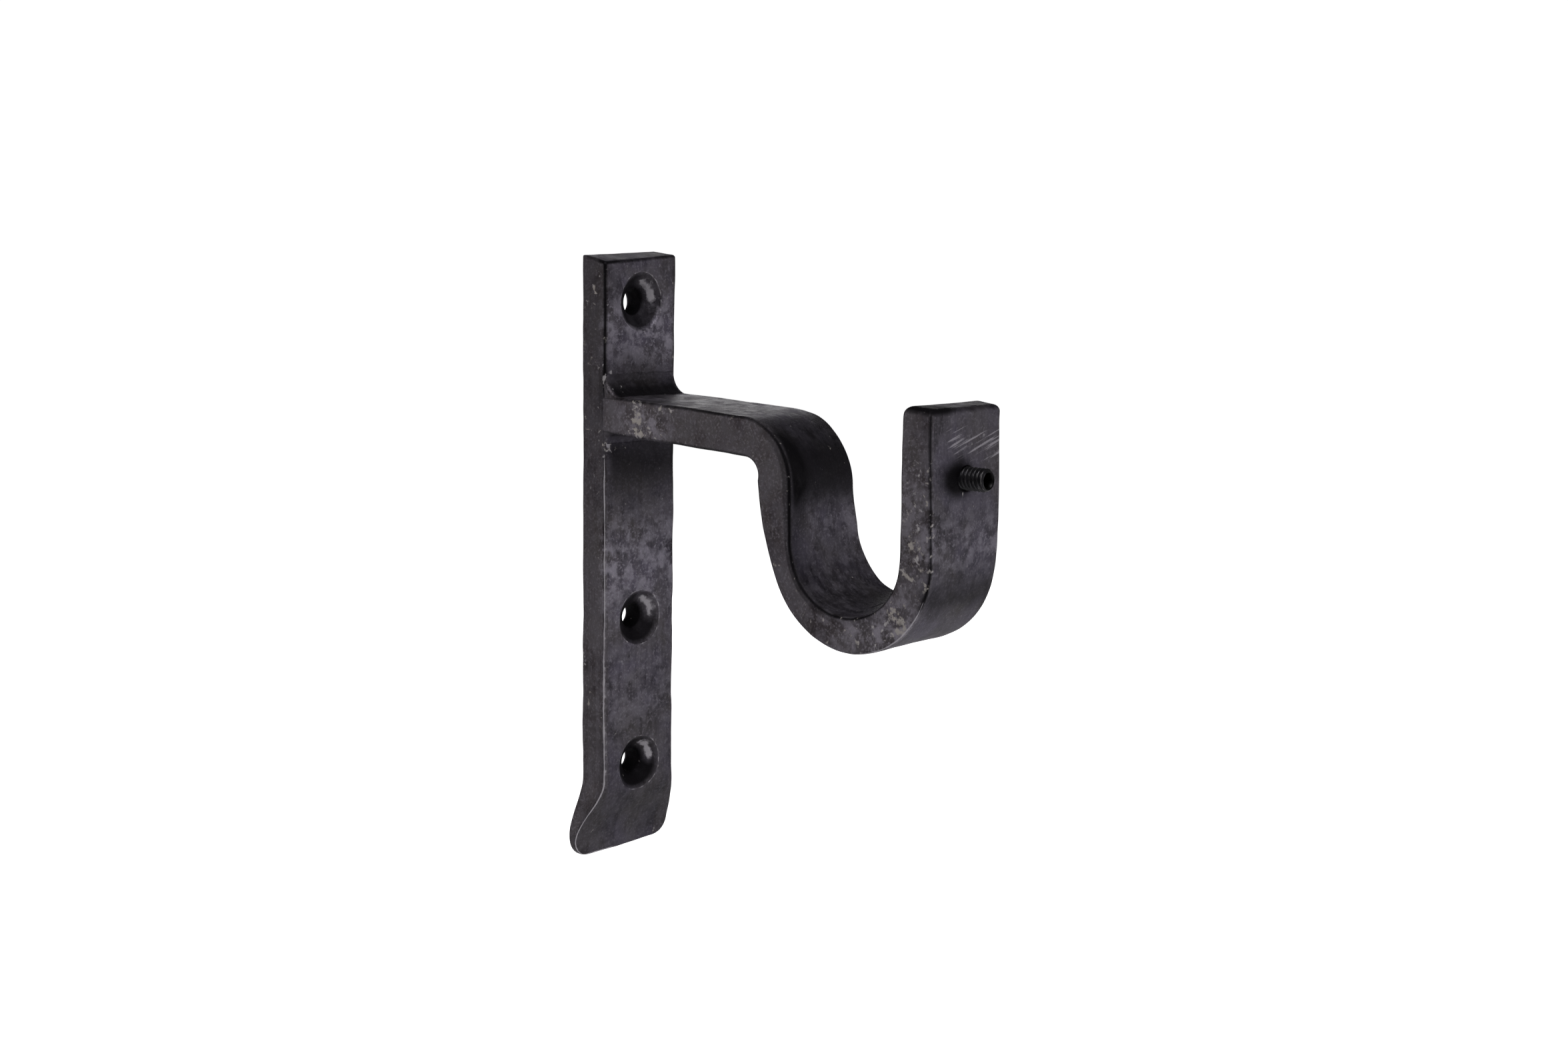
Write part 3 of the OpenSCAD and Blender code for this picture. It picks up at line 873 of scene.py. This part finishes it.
def armAttributes(shaped, ridge, share, fromTip, overShoulder, holeZ):
    # where painted shade, darker patches, rubbed metal, flecks and scratches lie, as sums of patches and
    # fades.
    # share is 0 on the under face and 1 on the top face
    at = armMarks
    x, u, z = shaped[:, 0], -shaped[:, 1], shaped[:, 2]
    side, onTop, onUnder = onSide(x), share > at["topFace"], share < 0.5
    near = smoothStep(-x, *at["nearHalf"])
    legFront = smoothStep(u, *at["legFront"])
    cradleWear = patch(z, *at["cradleWear"]) * smoothStep(u, *at["cradleWearU"]) * near * onUnder
    rootFlecks = bump(u, *at["rootU"]) * bump(z, *at["rootZ"]) * side * near
    cradleFlecks = bump(z, *at["cradleZ"]) * bump(u, *at["cradleU"]) * side * near
    tipFlecks = bump(z, *at["tipZ"]) * smoothStep(u, *at["tipU"]) * side * near
    clusters = [at["rootFlecks"] * rootFlecks, at["cradleFlecks"] * cradleFlecks, at["tipFlecks"] * tipFlecks]
    fleckZone = at["flecks"] + at["sideFlecks"] * side + np.max(clusters, axis=0)
    scratchZone = patch(z, *at["scratches"]) * legFront * smoothStep(x, *at["scratchesX"])
    alongEdge = np.where(onUnder, smoothStep(z, *at["edgeSootUnder"]), smoothStep(z, *at["edgeSootTop"]))
    fromScrew = np.hypot(x - at["screwX"], (z - holeZ) * at["screwFlat"])
    # darker round the screw
    soot = at["screwSoot"] * (1 - smoothStep(fromScrew, *at["screwReach"])) * legFront
    # a little darker down the whole front leg, and painted shade at the very tip
    soot += at["legSoot"] * legFront + fade(-fromTip, *at["tipSoot"])
    # painted shade over the shoulder
    soot += overShoulder * onTop * fade(x, *at["shoulderSoot"])
    # painted shade along the near edges
    soot += at["edgeSoot"] * np.sqrt(ridge) * near * alongEdge * (1 - rootFlecks)
    # darker on the cradle's floor, up the inside of the back leg and low on the front leg
    onFloor = patch(u, *at["floorU"]) * bump(z, *at["floorZ"])
    upBack = patch(u, *at["backU"]) * bump(x, *at["backX"])
    soot += onTop * (onFloor + upBack) + legFront * patch(z, *at["legFoot"])
    rubbed = at["tipRubbed"] * tipFlecks + at["rootRubbed"] * rootFlecks
    rubbed += patch(z, *at["sideZ"]) * bump(u, *at["sideU"]) * side * near
    rubbed += legFront * patch(z, *at["legRubbed"])
    rubbed += patch(z, *at["backRubbed"]) * onTop * (u < at["backEnd"])
    return dict(wear=ridge * (at["edgeWear"] + cradleWear), soot=np.clip(soot, 0, 1), fleckZone=fleckZone,
                scratchZone=scratchZone, rubbed=np.clip(rubbed, 0, 1), sideFace=side)


def buildArm():
    inner, outer, length, holeRow, holeZ, outerMid = armCurves()
    thick, half = arm["thick"], arm["holePatch"]
    xs = linesWithEdges(-barHalf, barHalf, [-half, half], half / arm["holeCells"])
    ns = linesWithEdges(0, thick, [], bar["gridStep"])
    counts = len(xs), len(ns), len(length)
    middleX = int(np.argmin(np.abs(xs)))
    places, faces, keys = blockSkin([count - 1 for count in counts], [(middleX, holeRow, arm["holeRing"])])
    points = np.c_[xs[places[:, 0]], ns[places[:, 1]], length[places[:, 2]]]
    softness = 1 + bar["edgeVariation"] * waves(points[:, [0, 2, 1]], bar["edgePatch"], arm["edgeSeed"])
    softness = np.clip(softness, arm["leastRound"], arm["mostRound"])
    beyond = 50.0  # the ends are not rounded here, so the block runs past them
    lowBlock, highBlock = np.array([-barHalf, 0, -beyond]), np.array([barHalf, thick, length[-1] + beyond])
    shaped, ridge = roundedBlock(points, lowBlock, highBlock, softness)
    offsets = np.c_[places[:, 0] - middleX, places[:, 2] - holeRow]
    centre = np.array([0, length[holeRow]])
    ringIds = []
    for level in (0, len(ns) - 1):
        ids = np.flatnonzero(places[:, 1] == level)
        radii = {arm["holeRing"]: arm["holeMouth"]}
        shaped[np.ix_(ids, [0, 2])] = openHole(shaped[ids][:, [0, 2]], offsets[ids], centre,
                                               arm["holeCells"], radii)[0]
        ringIds.append(np.searchsorted(keys, ringKeys(arm["holeRing"], middleX, holeRow, level, counts)))
    x, n, s = shaped.T

    # the tip: each side of the section draws in along a quarter round as it nears the end
    def tipInset(radius):
        past = np.clip(s - (length[-1] - radius), 0, radius)
        return radius - np.sqrt(radius ** 2 - past ** 2)

    middle = thick / 2
    fromTip = length[-1] - s
    ridge = np.maximum(ridge, patch(fromTip, *arm["tipRidge"]))
    inset = tipInset(np.where(n > middle, arm["tipRoundIn"], arm["tipRoundOut"]))
    n = middle + (n - middle) * (1 + (bar["swell"] - inset) / middle)
    x = x * (1 + (bar["swell"] - tipInset(arm["tipRoundSide"])) / barHalf)
    share = n / thick
    far = (x + barHalf) / (2 * barHalf)
    # every point lies between the two curves, n / thick of the way from the outer to the inner one
    top = np.c_[np.interp(s, length, inner[:, 0]), np.interp(s, length, inner[:, 1])]
    under = np.c_[np.interp(s, length, outer[:, 0]), np.interp(s, length, outer[:, 1])]
    overShoulder = strayFromTrue(top, under, inner, length, s, far, outerMid)
    flat = under * (1 - share[:, None]) + top * share[:, None]
    shaped = np.c_[x, -flat[:, 0], flat[:, 1]]
    values = armAttributes(shaped, ridge, share, fromTip, overShoulder, holeZ)
    # the tapped hole: a chamfer at each face and the thread between them
    first, last = ringIds
    yFirst, yLast = shaped[first, 1].mean(), shaped[last, 1].mean()
    levels = np.linspace(yFirst, yLast, int(abs(yLast - yFirst) / thread["pitch"] * thread["perTurn"]))[1:-1]
    around = np.arctan2(shaped[first, 0], shaped[first, 2] - holeZ)
    rings = []
    for level in levels:
        wave = threadWave(around, level, thread["holeWiden"])
        cutRadius = thread["holeCrest"] + (thread["holeRoot"] - thread["holeCrest"]) * wave
        radius = np.maximum(cutRadius, arm["holeMouth"] - min(level - yFirst, yLast - level))
        across, upward = radius * np.sin(around), radius * np.cos(around)
        rings.append(np.c_[across, np.full(len(around), level), holeZ + upward])
    shaped, faces = addTube(shaped, faces, first, last, rings)
    inHole = np.zeros(len(shaped) - len(x))
    # painted shade inside the tapped hole
    holeValues = dict(soot=arm["holeSoot"])
    values = {key: np.append(numbers, inHole + holeValues.get(key, 0)) for key, numbers in values.items()}
    # hammer marks everywhere but round the thread, which the screw has to pass
    fromHole = np.hypot(shaped[:, 0], shaped[:, 2] - holeZ)
    calm = bump(fromHole, 0, arm["calmReach"]) * (shaped[:, 1] < -arm["calmFrom"])
    shaped = shaped + (hammered(shaped) - shaped) * (1 - smoothStep(calm, 0, arm["calmFade"]))[:, None]
    makePiece("bentArm", shaped, faces, "cradle_arm", "bracket", armIron, values)


buildArm()


# the weld beads
weld = dict(
    inset=0.015, buried=1.1, cells=26, layers=5,
    ripple=0.05, rippleLength=2.3, rippleBend=0.8,
    # how much painted shade the bead takes on its face, away from the plate and at the least
    faceSoot=0.45, awaySoot=(0.5, 0.1, 1.2), leastSoot=0.15, flecks=0.2,
)


def buildWeld(name, nodeName, wallFace, start, finish, corner, middle):
    # a bead carried across the bar: the face sweeps a quarter of an ellipse about middle, from start to
    # finish, and behind it the bead fills the corner down to the buried line.
    # Points are (distance from the wall, height)
    half, r = barHalf - weld["inset"], bar["edgeRound"]
    xs = linesWithEdges(-half, half, [], bar["gridStep"])
    depths = edgeLines(r)
    shares = np.linspace(0, 1, weld["layers"])
    lastLevel = len(depths) + len(shares) - 2
    places, faces, _ = blockSkin((len(xs) - 1, lastLevel, weld["cells"]))
    start, finish, corner, middle = (np.array(p, float) for p in (start, finish, corner, middle))
    startWay, finishWay = ((p - middle) / np.linalg.norm(p - middle) for p in (start, finish))
    startIn, finishIn = start + weld["buried"] * startWay, finish + weld["buried"] * finishWay
    cornerIn = corner + weld["buried"] * (startWay + finishWay)
    turn = np.linspace(0, np.pi / 2, weld["cells"] + 1)
    face = middle + np.cos(turn)[:, None] * (start - middle) + np.sin(turn)[:, None] * (finish - middle)
    along = np.linspace(0, 2, weld["cells"] + 1)[:, None]
    firstHalf = startIn + (cornerIn - startIn) * along
    secondHalf = cornerIn + (finishIn - cornerIn) * (along - 1)
    inward = np.where(along < 1, firstHalf, secondHalf) - face
    reach = np.linalg.norm(inward, axis=1)
    inward /= reach[:, None]
    rows = places[:, 2]
    level = lastLevel - places[:, 1]  # 0 on the open face, rising inwards
    deeper = r + (reach[rows] - r) * shares[np.clip(level - len(depths) + 1, 0, len(shares) - 1)]
    depth = np.where(level < len(depths), depths[np.minimum(level, len(depths) - 1)], deeper)
    block = np.c_[xs[places[:, 0]], -depth, np.zeros(len(depth))]
    beyond = 50.0  # only the two long edges of the open face are rounded, so the block runs past the rest
    lowBlock, highBlock = np.array([-half, -beyond, -beyond]), np.array([half, 0, beyond])
    rounded, _ = roundedBlock(block, lowBlock, highBlock, np.ones(len(block)))
    x, depth = rounded[:, 0], -rounded[:, 1]
    wave = np.sin(2 * np.pi * x / weld["rippleLength"] + weld["rippleBend"] * np.sin(x))
    depth = depth - weld["ripple"] * wave * np.sin(2 * turn[rows]) ** 2 * (level == 0)
    flat = face[rows] + inward[rows] * depth[:, None]
    shaped = hammered(np.c_[x, -flat[:, 0], flat[:, 1]])
    # painted shade over the bead, darker away from the plate and least on the bar's sides
    side = onSide(x)
    dark = weld["faceSoot"] + fade(np.abs(-shaped[:, 1] - wallFace), *weld["awaySoot"])
    soot = np.maximum(dark * (1 - side), weld["leastSoot"])
    values = dict(wear=0 * x, soot=soot, fleckZone=weld["flecks"] + 0 * x, scratchZone=0 * x, rubbed=0 * x,
                  sideFace=side)
    makePiece(name, shaped, faces, nodeName, "bracket", weldIron, values)


def buildWelds():
    low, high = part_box("upper_weld")
    wallFace, farU, topZ, toeZ = -high.y / mm, -low.y / mm, high.z / mm, low.z / mm
    buildWeld("upperWeldBead", "upper_weld", wallFace, start=(wallFace, topZ), finish=(farU, toeZ),
              corner=(wallFace, arm["topZ"]), middle=(farU, topZ))
    low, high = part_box("lower_weld")
    farU, lowZ, underZ = -low.y / mm, low.z / mm, arm["topZ"] - arm["thick"]
    toeZ = underZ - math.tan(math.radians(arm["fall"])) * (farU - wallFace)
    buildWeld("lowerWeldBead", "lower_weld", wallFace, start=(farU, toeZ), finish=(wallFace, lowZ),
              corner=(wallFace, underZ), middle=(farU, lowZ))


buildWelds()


# the set screw and its point
screw = dict(
    around=72, gap=0.02, startRadius=1.64, endRadius=1.75, endSlope=1.2, endFace=(1.45, 0.6),
    crestWear=0.48, wornPast=5, mouth=1.55, socketFlats=2.35, socketDepth=2.4,
)
point = dict(
    neck=1.50, neckLength=0.35, shoulder=1.60, shoulderAt=0.47, rim=1.15, rimLength=0.09, cup=0.5,
    wear=(0.35, 0.3),
)


def revolve(name, profileY, radii, axisZ, nodeName, values):
    # rows of radii, one for each step along the profile, swept about the screw's axis; both ends close on it
    rows, around = radii.shape
    turn = np.linspace(0, 2 * np.pi, around, endpoint=False)
    ys = np.repeat(profileY[:, None], around, axis=1)
    points = np.stack([radii * np.sin(turn), ys, axisZ + radii * np.cos(turn)], axis=2).reshape(-1, 3)
    ids = np.arange(rows * around).reshape(rows, around)
    a, b = ids[:-1], ids[1:]
    faces = np.stack([a, b, np.roll(b, -1, axis=1), np.roll(a, -1, axis=1)], axis=2).reshape(-1, 4)
    points = np.vstack([points, [[0, profileY[0], axisZ], [0, profileY[-1], axisZ]]])
    firstPole, lastPole = rows * around, rows * around + 1
    triangles = [(firstPole, i, (i + 1) % around) for i in range(around)]
    triangles += [(lastPole, ids[-1, (i + 1) % around], ids[-1, i]) for i in range(around)]
    values = {key: np.append(numbers.ravel(), [0, 0]) for key, numbers in values.items()}
    makePiece(name, points, faces, nodeName, nodeName, screwSteel, values, triangles)


def buildScrew():
    # rings from the bottom of the hexagon socket out to its mouth, over the end and down the thread
    low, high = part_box("clamp_screw")
    endY, innerY, axisZ = low.y / mm, high.y / mm, (low.z + high.z) / 2 / mm
    turn = np.linspace(0, 2 * np.pi, screw["around"], endpoint=False)
    hexRadius = screw["socketFlats"] / 2 / np.cos((turn + np.pi / 6) % (np.pi / 3) - np.pi / 6)
    mouth, root, socketEnd = screw["mouth"], thread["root"], endY + screw["socketDepth"]
    # painted shade makes the socket, its mouth and the end face near black
    rings = [(socketEnd + 0.35, 0.15, 0, 1), (socketEnd, hexRadius * 0.93, 0, 1)]  # (y, radius, wear, painted shade)
    rings += [(y, hexRadius, 0, 1) for y in np.linspace(socketEnd - 0.08, endY + 0.9, 6)]
    rings += [(endY + 0.5, np.maximum(hexRadius, mouth - 0.26), 0, 1),
              (endY + 0.12, np.maximum(hexRadius, mouth - 0.14), 0, 1),
              (endY + 0.03, mouth, 0, 0.9), (endY, mouth + 0.04, 0, 0.9), (endY, root, 0, 0.7)]
    for y in np.arange(endY + 0.02, innerY - 0.02, thread["pitch"] / thread["perTurn"]):
        wave = threadWave(turn, y)
        radius = root + (thread["crest"] - root) * wave
        limit = min(screw["startRadius"] + (y - endY), screw["endRadius"] + (innerY - y) * screw["endSlope"])
        # the crests are rubbed bright; this also stands in for painted highlights on them
        worn = screw["crestWear"] * (wave > 0.9) * (y < innerY - screw["wornPast"])
        rings.append((y, np.minimum(radius, limit), worn, 0))
    rings += [(innerY - screw["gap"], radius, 0, 0) for radius in screw["endFace"]]
    wholeRings = [[np.broadcast_to(value, turn.shape) for value in ring] for ring in rings]
    ys, radii, wear, soot = np.array(wholeRings).transpose(1, 0, 2)
    revolve("setScrew", ys[:, 0], radii, axisZ, "clamp_screw", dict(wear=wear, soot=soot))


def buildPoint():
    # a profile of (y, radius) from the face at the shank over the neck and the cone and into the cup
    low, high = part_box("screw_point")
    startY, endY, axisZ = low.y / mm + screw["gap"], high.y / mm, (low.z + high.z) / 2 / mm
    neck, shoulder, rim, cup = (point[key] for key in ("neck", "shoulder", "rim", "cup"))
    coneY = startY + point["shoulderAt"]
    profile = [(startY, 0.5), (startY, neck - 0.1), (startY + 0.03, neck)]
    profile += [(startY + point["neckLength"], neck), (coneY - 0.05, shoulder - 0.03), (coneY, shoulder)]
    coneLength = endY - point["rimLength"] - startY - point["shoulderAt"]
    profile += [(coneY + coneLength * t, shoulder + (rim - shoulder) * t) for t in np.linspace(0, 1, 12)[1:]]
    profile += [(endY - 0.03, rim - 0.02), (endY, rim - 0.06), (endY - 0.02, rim - 0.12)]
    profile += [(endY - cup + cup * t, (rim - 0.15) * t + 0.02) for t in np.linspace(0.94, 0.06, 8)]
    ys, radii = np.array(profile[::-1]).T  # end for end, so that it runs the same way as the screw's
    radii = np.repeat(radii[:, None], screw["around"], axis=1)
    rimWear, rimHalf = point["wear"]
    wear = rimWear * bump(ys, endY, rimHalf)[:, None] + 0 * radii
    revolve("screwPoint", ys, radii, axisZ, "screw_point", dict(wear=wear, soot=0 * radii))


buildScrew()
buildPoint()

# the camera: angles in degrees, its place and near limit in metres
camera = dict(
    azimuth=-48.8, pitch=8.48, roll=0.73, place=(-0.24991, -0.26309, 0.06176),
    lens=41.74, sensor=36, clipStart=0.01,
)


def makeCamera():
    # it looks against the back vector; roll turns the frame about it
    azimuth, pitch, roll = (math.radians(camera[key]) for key in ("azimuth", "pitch", "roll"))
    sine, cosine = math.sin(azimuth), math.cos(azimuth)
    back = Vector((sine * math.cos(pitch), -cosine * math.cos(pitch), math.sin(pitch)))
    level = Vector((cosine, sine, 0))
    upright = back.cross(level)
    right = math.cos(roll) * level + math.sin(roll) * upright
    up = back.cross(right)
    data = bpy.data.cameras.new("camera")
    data.lens = camera["lens"]
    data.sensor_width = camera["sensor"]
    data.clip_start = camera["clipStart"]
    made = bpy.data.objects.new("camera", data)
    made.matrix_world = Matrix.Translation(camera["place"]) @ Matrix((right, up, back)).transposed().to_4x4()
    bpy.context.collection.objects.link(made)
    bpy.context.scene.camera = made


makeCamera()

# the floor, the air and the lights, in metres
studio = dict(
    floorDrop=0.14, floorHalf=6, floorColour=(0.93, 0.93, 0.935), floorRoughness=0.9,
    cloudSize=8.0, cloudShade=0.99, floorGlow=1.0, world=0.05, seenWorld=1.05,
    # each light: place, width, height, watts, colour; all point at the bracket
    lights=[((0.80, 0.78, 0.16), 1.1, 0.5, 2.8, (1.0, 0.99, 1.0)),       # behind, the broad reflection
            ((0.80, -0.72, 0.10), 0.55, 0.5, 0.98, (0.97, 0.94, 1.0)),   # in front, on the far side
            ((-0.75, 0.68, 0.08), 0.6, 0.5, 1.25, (1.0, 0.96, 0.96)),    # behind, on the near side
            ((-0.30, -0.42, 0.85), 0.40, 0.40, 5.4, (1.0, 0.98, 1.0)),   # the key, high in front
            ((0.05, -0.42, -0.17), 0.30, 0.20, 0.5, (1.0, 1.0, 1.0))],   # low in front
)


def makeFloor():
    mesh = bpy.data.meshes.new("studioFloor")
    half, z = studio["floorHalf"], cadLow.z - studio["floorDrop"]
    corners = [(-half, -half, z), (half, -half, z), (half, half, z), (-half, half, z)]
    mesh.from_pydata(corners, [], [(0, 1, 2, 3)])
    floor = bpy.data.objects.new("studioFloor", mesh)
    bpy.context.collection.objects.link(floor)
    material, tree, shader = newMaterial("floorPaper", Roughness=studio["floorRoughness"])
    cloud = noise(tree, tree.nodes.new("ShaderNodeTexCoord").outputs["Object"], studio["cloudSize"])
    shade = tuple(c * studio["cloudShade"] for c in studio["floorColour"])
    tree.links.new(mixColour(tree, cloud, studio["floorColour"], shade), shader.inputs["Base Color"])
    # seen straight on, the paper is as bright as the air behind it, so the two run into one another
    seen = tree.nodes.new("ShaderNodeLightPath").outputs["Is Camera Ray"]
    tree.links.new(times(tree, seen, studio["floorGlow"]), shader.inputs["Emission Strength"])
    shader.inputs["Emission Color"].default_value = (1, 1, 1, 1)
    mesh.materials.append(material)


def makeLights():
    aim = (cadLow + cadHigh) / 2
    for i, (place, width, height, watts, colour) in enumerate(studio["lights"]):
        data = bpy.data.lights.new(f"softbox{i}", "AREA")
        data.shape = "RECTANGLE"
        data.size, data.size_y = width, height
        data.energy, data.color = watts, colour
        light = bpy.data.objects.new(f"softbox{i}", data)
        light.location = place
        light.rotation_euler = (aim - Vector(place)).to_track_quat("-Z", "Y").to_euler()
        light.visible_camera = False
        bpy.context.collection.objects.link(light)


def makeAir():
    # white where the camera sees it, and nearly dark for the light that it gives
    world = bpy.data.worlds.new("studioAir")
    world.use_nodes = True
    tree = world.node_tree
    background = tree.nodes["Background"]
    seen = tree.nodes.new("ShaderNodeLightPath").outputs["Is Camera Ray"]
    strength = ramp(tree, seen, 0.0, 1.0, (studio["world"], studio["seenWorld"]))
    tree.links.new(strength, background.inputs["Strength"])
    background.inputs["Color"].default_value = (1, 1, 1, 1)
    bpy.context.scene.world = world
    bpy.context.scene.view_settings.view_transform = "Standard"


makeFloor()
makeLights()
makeAir()
print("camera, floor and lights made")
